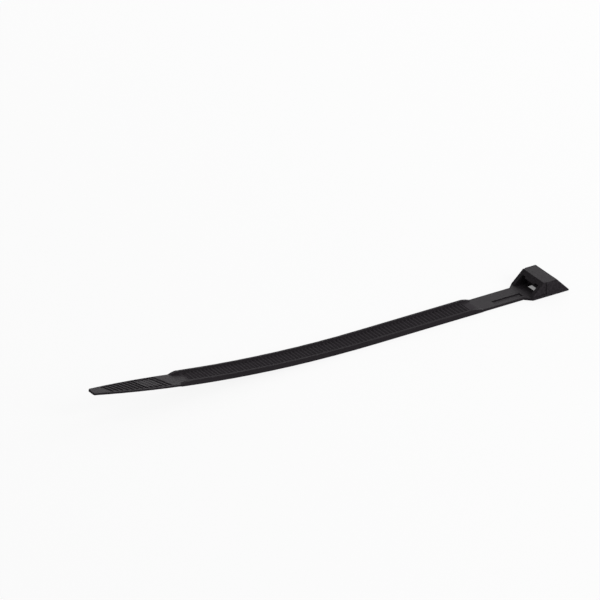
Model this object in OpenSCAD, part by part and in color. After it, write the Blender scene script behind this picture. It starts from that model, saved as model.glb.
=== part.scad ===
// Cable tie with a low parallel-entry head, moulded in one piece, lying open.
// The strap leaves the head flat on the table and bends up a little towards its tail.
// Frame: the origin is on the underside, in the middle of the head's front edge.
// +X points to the back of the head, +Y across the strap, and +Z up, on the toothed face.
// Places along the strap are counted as a distance s from the origin towards the tail.

/* [Strap] */
// Width of the strap
strap_w = 9; // [8:0.1:10]
// Thickness of the strap over its side rims
strap_t = 1.8; // [1.6:0.05:2]
// Width of each side rim
rim_w = 1.3; // [1:0.1:1.7]
// Radius of the rims' top edges
rim_r = 0.25; // [0.1:0.05:0.4]
// Radius of the strap's lower edges
under_r = 0.15; // [0.1:0.05:0.3]
// Length of the toothed body, with its ramps
body_l = 119; // [95:1:150]
// Length of each rim's ramp at the neck
neck_ramp_l = 5.6; // [3:0.2:8]
// Length of each rim's ramp at the tail
tail_ramp_l = 4.4; // [3:0.2:8]
// Length of the smooth land between the ramps at each end of the body
land_l = 4; // [2:0.2:6]
// Length of the body that lies flat before the strap bends up
flat_l = 43.4; // [25:0.2:60]
// Angle by which the strap bends up
bend_angle = 8.4; // [3:0.2:14]

/* [Teeth] */
// Distance from tooth to tooth
tooth_pitch = 1.42; // [1.2:0.02:1.8]
// Height of a tooth above its root
tooth_h = 0.4; // [0.3:0.05:0.6]
// Thickness of the strap under the tooth roots
root_t = 0.85; // [0.7:0.05:1]
// Flat land on top of a tooth
tooth_land = 0.3; // [0.15:0.05:0.4]
// Plain channel floor between each smooth land and the row of teeth, at least
tooth_margin = 0.6; // [0.4:0.1:3]

/* [Neck] */
// Length of the plain neck between the head and the toothed body
neck_l = 18.1; // [14:0.1:28]
// Thickness of the neck
neck_t = 0.9; // [0.8:0.05:1.1]
// How far the neck and the tail are set in at each side of the strap
end_inset = 0.15; // [0.1:0.05:0.3]
// Length of the flare from the neck to the foot of the head
flare_l = 2; // [1:0.1:5]
// Length of the shallow panel in the neck's upper face
panel_l = 11.2; // [6:0.2:12]
// Width of the panel
panel_w = 2.4; // [1.5:0.1:3.2]
// Depth of the panel
panel_depth = 0.3; // [0.1:0.05:0.4]
// Distance from the head to the panel
panel_gap = 1.5; // [1:0.1:2.5]

/* [Tail] */
// Length of the plain tail past the toothed body
tail_l = 32.6; // [26:0.2:42]
// Thickness of the strap at the tail
tail_t = 0.8; // [0.7:0.05:1]
// Width of the tail at its tip
tip_w = 4; // [3:0.2:6]
// Radius of the tip's corners
tip_r = 0.85; // [0.4:0.05:1.3]
// Radius of the tail's edges
tail_edge_r = 0.15; // [0.05:0.05:0.3]

/* [Grip ribs] */
// Distance from rib to rib along the tail
rib_pitch = 1.77; // [1.5:0.01:2.2]
// Width of a rib's flat top
rib_crest = 0.5; // [0.3:0.05:0.8]
// Depth of the grooves between the ribs
groove_depth = 0.3; // [0.15:0.05:0.35]
// Angle of the grooves to the line straight across the tail
rib_angle = 21; // [0:1:40]
// Smooth stretch between the toothed body and the middle of the first groove
rib_start = 5.2; // [4:0.1:9]
// Smooth stretch between the middle of the last groove and the tip, at least
rib_end = 6; // [5:0.1:9]
// Bare edge left beside the ribs
rib_edge = 0.45; // [0.3:0.05:0.8]
// Length of the almost plain pad among the ribs
pad_l = 6.2; // [4:0.1:8]
// Width of the pad
pad_w = 4.8; // [3:0.2:5.4]
// Distance from the toothed body to the pad
pad_start = 7.4; // [6:0.1:12]
// Depth of the fine grooves in the pad
pad_groove_depth = 0.1; // [0.05:0.05:0.15]

/* [Head] */
// Length of the head's foot
head_l = 14.6; // [13.5:0.1:17]
// Length of the head's top
head_top_l = 5.1; // [4:0.1:6]
// Length that the front slope takes
front_run = 4.8; // [4.4:0.1:5.4]
// Height of the foot's upright edge at the back
rear_edge_h = 0.45; // [0.3:0.05:0.8]
// Distance from the front edge at which the foot has its full width
foot_corner_x = 0.3; // [0.1:0.05:0.6]
// Thickness of the side walls of the tunnel
side_wall = 1.65; // [1.2:0.05:2]
// Thickness of the roof of the tunnel
roof_t = 1.2; // [1:0.05:1.6]
// Room over the strap in the tunnel, where the pawl moves
pawl_room = 1.45; // [1.4:0.05:2]
// Play between the strap's edge and the side wall
side_play = 0.15; // [0.1:0.05:0.4]
// Play over the strap at the entry
entry_play = 0.25; // [0.15:0.05:0.4]
// How far the foot and the back of the head stand out at each side of the front
shoulder = 0.22; // [0.1:0.02:0.6]
// Distance from the front edge to the shoulder
shoulder_x = 5.7; // [4.8:0.1:7]
// Radius of the head's long top edges
head_edge_r = 0.15; // [0.1:0.05:0.5]

/* [Pawl] */
// Play between the pawl and each rim
pawl_play = 0.25; // [0.15:0.05:0.4]
// Thickness of the pawl behind its teeth
pawl_t = 1; // [0.8:0.05:1.1]
// Number of teeth on the pawl
pawl_teeth = 2; // [1:1:2]
// Distance from the front edge to the pawl's tip
pawl_tip_x = 4.2; // [3.9:0.1:4.6]
// Distance from the front edge to the pawl's root
pawl_root_x = 8.6; // [8.2:0.1:9]
// Lift that leaves the pawl's teeth clear of the strap's tooth roots
pawl_lift = 0.2; // [0.1:0.05:0.3]
// Length of the opening in the foot under the pawl's teeth
foot_slot_l = 3; // [2:0.1:3.6]
// Width of the opening in the foot
foot_slot_w = 6.4; // [4:0.1:7]
// Distance by which the opening starts in front of the pawl's tip
foot_slot_lead = 0.5; // [0.2:0.1:0.9]
// Depth of the lip that hangs over the pawl's tip
lip_h = 0.4; // [0.2:0.05:0.5]
// Width of the lip
lip_w = 5.6; // [4:0.1:6.4]

/* [Hidden] */
corner_fn = 48;
bend_fn = 1440;
nylon_black = [0.09, 0.085, 0.09];
// Small step between faces that would else lie in one another
step = 0.05;
// How far a cutting tool reaches past what it cuts
past = 1;

channel_w = strap_w - 2 * rim_w;
rim_slope = 0.3;
channel_floor_t = root_t - 2 * step;
neck_w = strap_w - 2 * end_inset;
hump_parts = [0.25, 0.5, 0.75, 1];
bend_start = neck_l + flat_l;
bend_l = body_l - flat_l;
bend_r = bend_l * 180 / (PI * bend_angle);

tooth_tip_t = root_t + tooth_h;
tooth_face = 0.12;
tooth_valley = 0.3;
tooth_ramp = tooth_pitch - tooth_valley - tooth_face - tooth_land;
tooth_count = floor((body_l - 2 * (land_l + tooth_margin)) / tooth_pitch);
first_tooth_s = neck_l + land_l + tooth_margin;

tunnel_w = strap_w + 2 * side_play;
head_w = tunnel_w + 2 * side_wall;
foot_w = head_w + 2 * shoulder;
roof_z = neck_t + strap_t + pawl_room;
head_h = roof_z + roof_t;
rear_run = head_l - front_run - head_top_l;
entry_z = neck_t + strap_t + entry_play;
mouth_l = 3.2;
mouth_h = 0.6;
panel_edge = 1.2;

pawl_w = channel_w - 2 * pawl_play;
pawl_tooth_z = neck_t + root_t + pawl_lift;
pawl_web_z = pawl_tooth_z + tooth_h - step;
pawl_top_z = pawl_web_z + pawl_t;
pawl_nose = 0.25;
pawl_root_t = 0.6;
foot_slot_x = pawl_tip_x - foot_slot_lead;
sill_l = foot_slot_x / 2;
lip_back_x = pawl_tip_x + 1;

groove_count = floor((tail_l - rib_start - rib_end) / rib_pitch) + 1;
groove_w = rib_pitch - rib_crest;
groove_floor_w = 0.4;
tip_in = (neck_w - tip_w) / 2;
side_r = (tail_l * tail_l + tip_in * tip_in) / (2 * tip_in);
side_y = neck_w / 2 - side_r;
tip_corner_x = tail_l - tip_r;
tip_corner_y = side_y + sqrt(pow(side_r - tip_r, 2) - pow(tip_corner_x, 2));
tip_side_x = tip_corner_x * side_r / (side_r - tip_r);

// Point at distance s along the strap and height h over its underside, as [x, z]
function strap_point(s, h) =
    s <= bend_start
        ? [-s, h]
        : let (a = (s - bend_start) / bend_r * 180 / PI)
          [-bend_start - (bend_r - h) * sin(a), bend_r - (bend_r - h) * cos(a)];

// Points of one tooth: a steep face towards the head, a land, and a long ramp to the tail
function tooth_points(s) = [
    strap_point(s, root_t),
    strap_point(s + tooth_face, tooth_tip_t),
    strap_point(s + tooth_face + tooth_land, tooth_tip_t),
    strap_point(s + tooth_face + tooth_land + tooth_ramp, root_t)
];

// Turns a side view, drawn as X and Z, into a slab of width w across the strap
module across(w) {
    rotate([90, 0, 0]) translate([0, 0, -w / 2]) linear_extrude(w) children();
}

// Runs a section, drawn as Y and Z, along the straight stretch from s = a to s = b
module along_flat(a, b) {
    translate([-b, 0, 0]) rotate([90, 0, 90]) linear_extrude(b - a) children();
}

// Runs a section, drawn as Y and Z, round the whole bend
module along_bend() {
    translate([-bend_start, 0, bend_r]) rotate([0, 90, 90])
        rotate_extrude(angle = bend_angle, $fn = bend_fn)
            translate([bend_r, 0]) rotate(90) children();
}

// Places things in the frame of the tail, whose origin is the end of the bend
module in_tail_frame() {
    translate([
        -bend_start - bend_r * sin(bend_angle),
        0,
        bend_r * (1 - cos(bend_angle))
    ]) rotate([0, bend_angle, 0]) children();
}

// A rectangle on the Y axis whose upper and lower corners have their own radii
module rounded_section(w, h, top_r, low_r) {
    translate([-w / 2 + low_r, 0]) square([w - 2 * low_r, h - top_r]);
    translate([-w / 2, low_r]) square([w, h - top_r - low_r]);
    translate([-w / 2 + top_r, low_r]) square([w - 2 * top_r, h - low_r]);
    for (side = [-1, 1]) {
        translate([side * (w / 2 - top_r), h - top_r]) circle(top_r, $fn = corner_fn);
        translate([side * (w / 2 - low_r), low_r]) circle(low_r, $fn = corner_fn);
    }
}

// Section of the body: a channel floor between two rims with rounded tops and sloped inner faces
module body_section() {
    difference() {
        rounded_section(strap_w, strap_t, rim_r, under_r);
        polygon([
            [-channel_w / 2, channel_floor_t],
            [channel_w / 2, channel_floor_t],
            [channel_w / 2 + rim_slope, strap_t + step],
            [-channel_w / 2 - rim_slope, strap_t + step]
        ]);
    }
}

// Cut at an end of the body: over the length l its rims fall in a hump to height low
// towards +X, and its sides draw in until they stand a small step outside the neck or the tail
module end_cut(low, l) {
    crest = strap_t + 2 * step;
    fall = crest - low;
    end_y = neck_w / 2 + step;
    across(strap_w + past)
        polygon([
            [-l, crest],
            for (part = hump_parts) [(part - 1) * l, crest - part * part * fall],
            [past, low - 2 * past * fall / l],
            [past, crest + past],
            [-l, crest + past]
        ]);
    for (side = [-1, 1])
        translate([0, 0, -past]) linear_extrude(crest + 2 * past)
            polygon([
                [past, side * end_y],
                [0, side * end_y],
                [-2 * l, side * (strap_w - end_y)],
                [past, side * (strap_w - end_y)]
            ]);
}

// The long toothed part of the strap, with both its ends ramped down
module toothed_body() {
    difference() {
        union() {
            along_flat(neck_l, bend_start) body_section();
            along_bend() body_section();
        }
        translate([-neck_l, 0, 0]) end_cut(neck_t - step, neck_ramp_l);
        in_tail_frame() mirror([1, 0, 0]) end_cut(tail_t - step, tail_ramp_l);
    }
    row_of_teeth();
}

// All the teeth as one side view, set across the channel, with its foot inside the floor
module row_of_teeth() {
    last_s = first_tooth_s + tooth_count * tooth_pitch;
    foot = [
        for (i = [tooth_count:-1:0]) strap_point(first_tooth_s + i * tooth_pitch, root_t / 2)
    ];
    across(channel_w + 2 * rim_slope)
        polygon(concat(
            [for (i = [0:tooth_count - 1]) each tooth_points(first_tooth_s + i * tooth_pitch)],
            [strap_point(last_s, root_t)],
            foot
        ));
}

// The plain neck: a thin bar from inside the head to the end of its land between the ramps,
// with a shallow panel in its upper face
module neck() {
    difference() {
        along_flat(-sill_l, neck_l + land_l) rounded_section(neck_w, neck_t, under_r, under_r);
        neck_panel();
    }
}

module neck_panel() {
    translate([-panel_gap - panel_l, panel_edge - neck_w / 2, neck_t - panel_depth])
        cube([panel_l, panel_w, neck_t]);
}

// The plate that widens the neck to the foot of the head, and is the foot up to its shoulder
module flared_foot() {
    linear_extrude(neck_t)
        polygon([
            [-flare_l, -neck_w / 2 + step],
            [foot_corner_x, -foot_w / 2],
            [shoulder_x + past, -foot_w / 2],
            [shoulder_x + past, foot_w / 2],
            [foot_corner_x, foot_w / 2],
            [-flare_l, neck_w / 2 - step]
        ]);
}

// The circle that one side of the tail follows, inset by a margin
module side_circle(inset, side) {
    translate([0, side * side_y]) circle(side_r - inset, $fn = bend_fn);
}

// A wide thin disc whose rounded rim is one side of the tail
module side_disc(side) {
    plate_t = tail_t - step;
    translate([0, side * side_y, step])
        rotate_extrude($fn = bend_fn) intersection() {
            rounded_section(2 * side_r, plate_t, tail_edge_r, tail_edge_r);
            square([side_r, plate_t]);
        }
}

// Plan of the tail: it starts inside the body, and ends straight across between two round
// corners that are tangent to its sides
module tail_plan() {
    translate([-tail_l, -tip_corner_y]) square([tail_l, 2 * tip_corner_y]);
    translate([-tip_side_x, -strap_w]) square([tip_side_x + land_l, 2 * strap_w]);
    for (side = [-1, 1])
        translate([-tip_corner_x, side * tip_corner_y]) circle(tip_r, $fn = corner_fn);
}

// The thin plate of the tail, which runs on between the ramps as a land
module tail_plate() {
    intersection() {
        side_disc(1);
        side_disc(-1);
        linear_extrude(tail_t + past) tail_plan();
    }
}

// Grooves at a slant across the tail, as one comb cut to the tail's inset outline
module grip_grooves() {
    intersection() {
        linear_extrude(tail_t + past) intersection() {
            side_circle(rib_edge, 1);
            side_circle(rib_edge, -1);
        }
        for (i = [0:groove_count - 1])
            translate([-rib_start - i * rib_pitch, 0, tail_t]) rotate([0, 0, rib_angle])
                across(2 * strap_w)
                    polygon([
                        [-groove_w / 2, step],
                        [-groove_w / 2, 0],
                        [-groove_floor_w / 2, -groove_depth],
                        [groove_floor_w / 2, -groove_depth],
                        [groove_w / 2, 0],
                        [groove_w / 2, step]
                    ]);
    }
}

// Block over the pad, with its ends at the grooves' slant
module pad_block() {
    slant = pad_w / 2 * tan(rib_angle);
    linear_extrude(tail_t + past)
        polygon([
            [-pad_start + slant, -pad_w / 2],
            [-pad_start - pad_l + slant, -pad_w / 2],
            [-pad_start - pad_l - slant, pad_w / 2],
            [-pad_start - slant, pad_w / 2]
        ]);
}

module tail() {
    in_tail_frame() difference() {
        tail_plate();
        difference() {
            grip_grooves();
            pad_block();
        }
        intersection() {
            translate([0, 0, groove_depth - pad_groove_depth]) grip_grooves();
            pad_block();
        }
    }
}

// Side view of the back of the head, up to where the section cuts its top flat
module back_side_view() {
    polygon([
        [shoulder_x, 0],
        [head_l, 0],
        [head_l, rear_edge_h],
        slope_point([head_l, rear_edge_h], [head_l - rear_run, head_h]),
        [shoulder_x, head_h + past]
    ]);
}

// Side view of the front of the head, from inside the foot and into the back
module front_side_view() {
    sill = [step, neck_t + 2 * step];
    polygon([
        [step, neck_t / 2],
        sill,
        slope_point(sill, [front_run, head_h]),
        [shoulder_x + past, head_h + past],
        [shoulder_x + past, neck_t / 2]
    ]);
}

// Point where the line from a point to one at the head's height comes out above the head
function slope_point(from, to) = to + (to - from) * past / (head_h - from[1]);

// Section of the head at width w, with round top edges
module head_section(w) {
    translate([-w / 2, -past]) square([w, head_h - head_edge_r + past]);
    translate([-w / 2 + head_edge_r, 0]) square([w - 2 * head_edge_r, head_h]);
    for (side = [-1, 1])
        translate([side * (w / 2 - head_edge_r), head_h - head_edge_r])
            circle(head_edge_r, $fn = corner_fn);
}

// Space inside the head: the strap's way in at the back, and the pawl's room behind the window,
// less the lip that stays in the middle of the window's upper edge
module tunnel() {
    difference() {
        across(tunnel_w) polygon([
            [-past, neck_t],
            [head_l + past, neck_t],
            [head_l + past, entry_z + mouth_h],
            [head_l - mouth_l, entry_z],
            [pawl_root_x, entry_z],
            [pawl_root_x, roof_z],
            [-past, roof_z]
        ]);
        translate([-2 * past, -lip_w / 2, roof_z - lip_h])
            cube([2 * past + lip_back_x, lip_w, lip_h + past]);
    }
}

// The pawl: a tongue from the back of the tunnel, with teeth under its tip that face the root
module pawl() {
    teeth_end_x = pawl_tip_x + pawl_teeth * tooth_pitch;
    root_x = pawl_root_x + step;
    tip_land = tooth_land / 2;
    across(pawl_w) polygon(concat(
        [
            [root_x, roof_z + step],
            [root_x - pawl_root_t, roof_z + step],
            [teeth_end_x + pawl_root_t, pawl_top_z + 2 * step],
            [pawl_tip_x, pawl_top_z - pawl_nose],
            [pawl_tip_x, pawl_tooth_z]
        ],
        [for (i = [0:pawl_teeth - 1]) each [
            [pawl_tip_x + i * tooth_pitch + tip_land, pawl_tooth_z],
            [pawl_tip_x + (i + 1) * tooth_pitch - tooth_face, pawl_web_z],
            [
                pawl_tip_x + (i + 1) * tooth_pitch,
                i < pawl_teeth - 1 ? pawl_tooth_z : pawl_web_z + step
            ]
        ]],
        [[root_x, entry_z + 2 * step]]
    ));
}

// The head: its front between the side walls, its wider back and the flared foot, less the
// tunnel and the opening in the foot, with the pawl inside
module head() {
    difference() {
        union() {
            intersection() {
                across(foot_w + past) front_side_view();
                along_flat(-head_l, past) head_section(head_w);
            }
            intersection() {
                across(foot_w + past) back_side_view();
                along_flat(-head_l - past, past) head_section(foot_w);
            }
            flared_foot();
        }
        tunnel();
        translate([foot_slot_x, -foot_slot_w / 2, -past])
            cube([foot_slot_l, foot_slot_w, neck_t + 2 * past]);
        neck_panel();
    }
    pawl();
}

module cable_tie() {
    color(nylon_black) union() {
        head();
        neck();
        toothed_body();
        tail();
    }
}

cable_tie();
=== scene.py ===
"""Looks of the cable tie: a one-piece tie of black moulded nylon, lying open on a white table.

The shape comes from the CAD model. This script gives it its moulded finish, and adds the
table, the studio light and a camera at the photograph's angle.
"""

import math

import bpy
from mathutils import Matrix, Vector


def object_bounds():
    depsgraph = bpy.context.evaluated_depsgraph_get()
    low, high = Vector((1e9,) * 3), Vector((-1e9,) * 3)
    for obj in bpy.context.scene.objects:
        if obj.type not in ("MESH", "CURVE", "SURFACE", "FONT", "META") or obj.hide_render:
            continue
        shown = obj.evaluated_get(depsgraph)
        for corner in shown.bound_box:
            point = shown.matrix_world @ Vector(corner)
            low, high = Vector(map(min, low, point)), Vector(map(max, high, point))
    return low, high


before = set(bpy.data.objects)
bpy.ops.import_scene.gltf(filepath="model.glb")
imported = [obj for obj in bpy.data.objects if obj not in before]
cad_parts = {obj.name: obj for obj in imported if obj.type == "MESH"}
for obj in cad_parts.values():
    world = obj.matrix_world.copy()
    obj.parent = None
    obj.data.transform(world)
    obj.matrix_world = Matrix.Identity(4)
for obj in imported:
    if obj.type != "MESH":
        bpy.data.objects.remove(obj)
cad_low, cad_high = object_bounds()
MM = 0.001
WHITE = (1, 1, 1, 1)


# Shader nodes as expressions

MATHS = {"+": "ADD", "-": "SUBTRACT", "*": "MULTIPLY"}


class Socket:
    """A shader value. Python's operators on it add the Math nodes that they stand for."""

    def __init__(self, tree, socket=None):
        self.tree = tree
        self.socket = socket

    def node(self, kind, settings=None, sockets=None, out=0):
        """Adds any other node: its type, its settings, and the values or links of its sockets."""
        node = self.tree.nodes.new(kind)
        for name, value in (settings or {}).items():
            setattr(node, name, value)
        for name, value in (sockets or {}).items():
            if isinstance(value, Socket):
                self.tree.links.new(value.socket, node.inputs[name])
            else:
                node.inputs[name].default_value = value
        return Socket(self.tree, node.outputs[out] if node.outputs else None)

    def maths(self, sign, first, second):
        return self.node("ShaderNodeMath", {"operation": MATHS[sign]}, {0: first, 1: second})

    def __add__(self, other):
        return self.maths("+", self, other)

    def __radd__(self, other):
        return self.maths("+", other, self)

    def __sub__(self, other):
        return self.maths("-", self, other)

    def __rsub__(self, other):
        return self.maths("-", other, self)

    def __mul__(self, other):
        return self.maths("*", self, other)

    def __rmul__(self, other):
        return self.maths("*", other, self)

    def between(self, low, high):
        """0 where this is below low, 1 where it is above high, and smooth in between."""
        return self.node(
            "ShaderNodeMapRange",
            {"interpolation_type": "SMOOTHSTEP"},
            {"Value": self, "From Min": low, "From Max": high},
        )

    def within(self, low, high, border):
        """1 where this lies from low to high and 0 outside, with a smooth border on the inside."""
        return self.between(low, low + border) * (1 - self.between(high - border, high))

    def mixed(self, first, second):
        """A colour: first where this is 0, second where it is 1."""
        return self.node(
            "ShaderNodeMix",
            {"data_type": "RGBA"},
            {"Factor": self, 6: first, 7: second},
            out=2,
        )


def new_material(name):
    """A node material with no nodes yet, and the start of its shader expressions."""
    material = bpy.data.materials.new(name)
    material.use_nodes = True
    material.node_tree.nodes.clear()
    return material, Socket(material.node_tree)


def own_place(start):
    """The place of each point in its object's own axes."""
    return start.node("ShaderNodeTexCoord", out="Object")


def distance_along(axis, place):
    """One of a place's three coordinates: X, Y or Z."""
    return place.node("ShaderNodeSeparateXYZ", {}, {"Vector": place}, out=axis)


# Black moulded nylon

NYLON_BLACK = (0.0095, 0.0080, 0.0094, 1)
NYLON_PALE = (0.0260, 0.0230, 0.0259, 1)
NYLON_SHEEN = (1, 0.86, 1, 1)
NYLON_ROUGHNESS = 0.50
NYLON_IOR = 1.5
NYLON_SHINE = 0.045

# The mould's texture is full on the head and fades out along the neck. The strap keeps a little
ETCH_FULL = 0
ETCH_START = -6 * MM
STRAP_SHARE = 0.1

# The toothed body is duller than the plain stretches at the neck and the tail. Its channel is
# duller still, and paler
PLAIN_AT_NECK = 19 * MM
PLAIN_AT_TAIL = 35.57 * MM
BODY_BORDER = 1 * MM
BODY_DULLER = 0.15
CHANNEL_SIDE = 3.4 * MM
CHANNEL_BORDER = 0.2 * MM
CHANNEL_DULLER = 0.1
CHANNEL_GREY = (0.034, 0.030, 0.034, 1)

# Fine grain and spots from the mould, and broad clouds from the flow of the nylon
GRAIN_SIZE = 0.35 * MM
SPOT_SIZE = 0.8 * MM
CLOUD_SIZE = 14 * MM
GRAIN_DETAIL = 3
SPOT_DETAIL = 2
CLOUD_DETAIL = 4
NOISE_ROUGHNESS = 0.6
NOISE_MIDDLE = 0.5
SPOT_LEVELS = (0.35, 0.65)
CLOUD_LEVELS = (0.35, 0.7)

# How much each of them changes the grey, the dullness and the relief
GRAIN_SHARE = 0.25
PLAIN_GREY = 0.4
CLOUD_GREY = 0.2
TEXTURE_GREY = 0.8
CLOUD_DULLNESS = 0.04
TEXTURE_DULLNESS = 0.12
GRAIN_DEPTH = 0.03 * MM
GRAIN_RELIEF = 0.3


def nylon_noise(place, size, detail):
    return place.node(
        "ShaderNodeTexNoise",
        {},
        {"Vector": place, "Scale": 1 / size, "Detail": detail, "Roughness": NOISE_ROUGHNESS},
    )


def black_nylon():
    """Black nylon as it comes out of the mould: an etched head, and a strap that is smoother."""
    material, start = new_material("black_nylon")
    place = own_place(start)
    along = distance_along("X", place)
    across = distance_along("Y", place)
    body = along.within(cad_low.x + PLAIN_AT_TAIL, -PLAIN_AT_NECK, BODY_BORDER)
    channel = body * across.within(-CHANNEL_SIDE, CHANNEL_SIDE, CHANNEL_BORDER)
    etched = STRAP_SHARE + along.between(ETCH_START, ETCH_FULL) * (1 - STRAP_SHARE)

    grain = nylon_noise(place, GRAIN_SIZE, GRAIN_DETAIL)
    spots = nylon_noise(place, SPOT_SIZE, SPOT_DETAIL).between(*SPOT_LEVELS)
    clouds = nylon_noise(place, CLOUD_SIZE, CLOUD_DETAIL).between(*CLOUD_LEVELS)
    texture = (spots * (1 - GRAIN_SHARE) + grain * GRAIN_SHARE - NOISE_MIDDLE) * etched

    grey = PLAIN_GREY + clouds * CLOUD_GREY + texture * TEXTURE_GREY
    colour = channel.mixed(grey.mixed(NYLON_BLACK, NYLON_PALE), CHANNEL_GREY)
    roughness = NYLON_ROUGHNESS + clouds * CLOUD_DULLNESS + texture * TEXTURE_DULLNESS
    roughness = roughness + body * BODY_DULLER + channel * CHANNEL_DULLER
    relief = start.node(
        "ShaderNodeBump",
        {},
        {"Strength": GRAIN_RELIEF, "Distance": GRAIN_DEPTH, "Height": grain * etched},
    )
    nylon = start.node(
        "ShaderNodeBsdfPrincipled",
        {},
        {
            "Base Color": colour,
            "Roughness": roughness,
            "IOR": NYLON_IOR,
            "Specular IOR Level": NYLON_SHINE,
            "Specular Tint": NYLON_SHEEN,
            "Normal": relief,
        },
    )
    start.node("ShaderNodeOutputMaterial", {}, {"Surface": nylon})
    return material


def dress_tie():
    nylon = black_nylon()
    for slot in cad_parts["cable_tie"].material_slots:
        slot.material = nylon


dress_tie()


# Table, white to the camera, with a soft shadow

TABLE_SIZE = 4.0
TABLE_GREY = (0.9, 0.9, 0.9, 1)
SHADOW_SHARE = 0.12

# The stretch under the head, seen through the opening in its foot: its shade and its border
HEAD_SHADE = 0.75
HEAD_BACK = cad_high.x
HEAD_SIDE = cad_high.y
SHADE_BORDER = 0.8 * MM


def white_to_camera(start):
    """1 for rays from the camera, and for those that reach it by a mirror or through glass."""
    rays = ("Is Camera Ray", "Is Glossy Ray", "Is Transmission Ray")
    return sum(start.node("ShaderNodeLightPath", out=ray) for ray in rays)


def under_head(start):
    """1 on the table under the head, where little light comes, and 0 elsewhere."""
    place = own_place(start)
    along = distance_along("X", place).within(0, HEAD_BACK, SHADE_BORDER)
    return along * distance_along("Y", place).within(-HEAD_SIDE, HEAD_SIDE, SHADE_BORDER)


def table_surface():
    """A pale table that shows as white, and still takes a faint shadow."""
    material, start = new_material("table_white")
    plain = start.node("ShaderNodeBsdfDiffuse", {}, {"Color": TABLE_GREY})
    glow = start.node("ShaderNodeEmission", {}, {"Color": WHITE, "Strength": 1})
    share = white_to_camera(start) * (1 - SHADOW_SHARE) * (1 - HEAD_SHADE * under_head(start))
    mix = start.node("ShaderNodeMixShader", {}, {0: share, 1: plain, 2: glow})
    start.node("ShaderNodeOutputMaterial", {}, {"Surface": mix})
    return material


def make_table():
    half = TABLE_SIZE / 2
    floor = cad_low.z
    corners = [(-half, -half, floor), (half, -half, floor), (half, half, floor), (-half, half, floor)]
    mesh = bpy.data.meshes.new("table")
    mesh.from_pydata(corners, [], [(0, 1, 2, 3)])
    mesh.materials.append(table_surface())
    table = bpy.data.objects.new("table", mesh)
    bpy.context.scene.collection.objects.link(table)


make_table()


# Studio light

ROOM_LIGHT = 0.35
# Each softbox's name, its place, the length of its side and its power
SOFTBOXES = (
    ("right", (1.00, 0.10, 0.30), 0.6, 6.4),
    ("front_right", (0.45, -0.85, 0.50), 0.8, 8.0),
    ("back_right", (0.45, 0.85, 0.40), 0.7, 3.4),
)
AIM = Vector((-0.09, 0, 0))


def make_softbox(name, place, size, watts):
    lamp = bpy.data.lights.new(name, "AREA")
    lamp.shape = "SQUARE"
    lamp.size = size
    lamp.energy = watts
    holder = bpy.data.objects.new(name, lamp)
    holder.location = place
    holder.rotation_mode = "QUATERNION"
    holder.rotation_quaternion = (AIM - Vector(place)).to_track_quat("-Z", "Y")
    bpy.context.scene.collection.objects.link(holder)


def make_room():
    """An even light from all round, which the camera sees as white."""
    world = bpy.data.worlds.new("studio")
    world.use_nodes = True
    world.node_tree.nodes.clear()
    bpy.context.scene.world = world
    start = Socket(world.node_tree)
    strength = ROOM_LIGHT + white_to_camera(start) * (1 - ROOM_LIGHT)
    room = start.node("ShaderNodeBackground", {}, {"Color": WHITE, "Strength": strength})
    start.node("ShaderNodeOutputWorld", {}, {"Surface": room})


for softbox in SOFTBOXES:
    make_softbox(*softbox)
make_room()


# Camera at the photograph's angle

TURN = math.radians(32.86)
TILT = math.radians(27.07)
DISTANCE = 4000 * MM
FARTHEST = 20
PIXELS_PER_MM = 3.0
PHOTO_SIZE = 600
PHOTO_CENTRE = (300, 300)
ORIGIN_IN_PHOTO = (521.5, 293.6)
SENSOR = 36


def make_camera():
    right = Vector((math.cos(TURN), -math.sin(TURN), 0))
    ahead = Vector(
        (math.sin(TURN) * math.cos(TILT), math.cos(TURN) * math.cos(TILT), -math.sin(TILT))
    )
    up = right.cross(ahead)
    shift_right = (PHOTO_CENTRE[0] - ORIGIN_IN_PHOTO[0]) / PIXELS_PER_MM * MM
    shift_up = (ORIGIN_IN_PHOTO[1] - PHOTO_CENTRE[1]) / PIXELS_PER_MM * MM
    place = shift_right * right + shift_up * up - DISTANCE * ahead
    turned = Matrix((right, up, -ahead)).transposed().to_4x4()
    camera = bpy.data.objects.new("camera", bpy.data.cameras.new("camera"))
    camera.matrix_world = Matrix.Translation(place) @ turned
    camera.data.sensor_width = SENSOR
    camera.data.lens = SENSOR * DISTANCE / (PHOTO_SIZE / PIXELS_PER_MM * MM)
    camera.data.clip_end = FARTHEST
    bpy.context.scene.collection.objects.link(camera)
    bpy.context.scene.camera = camera


make_camera()
bpy.context.scene.view_settings.view_transform = "Standard"
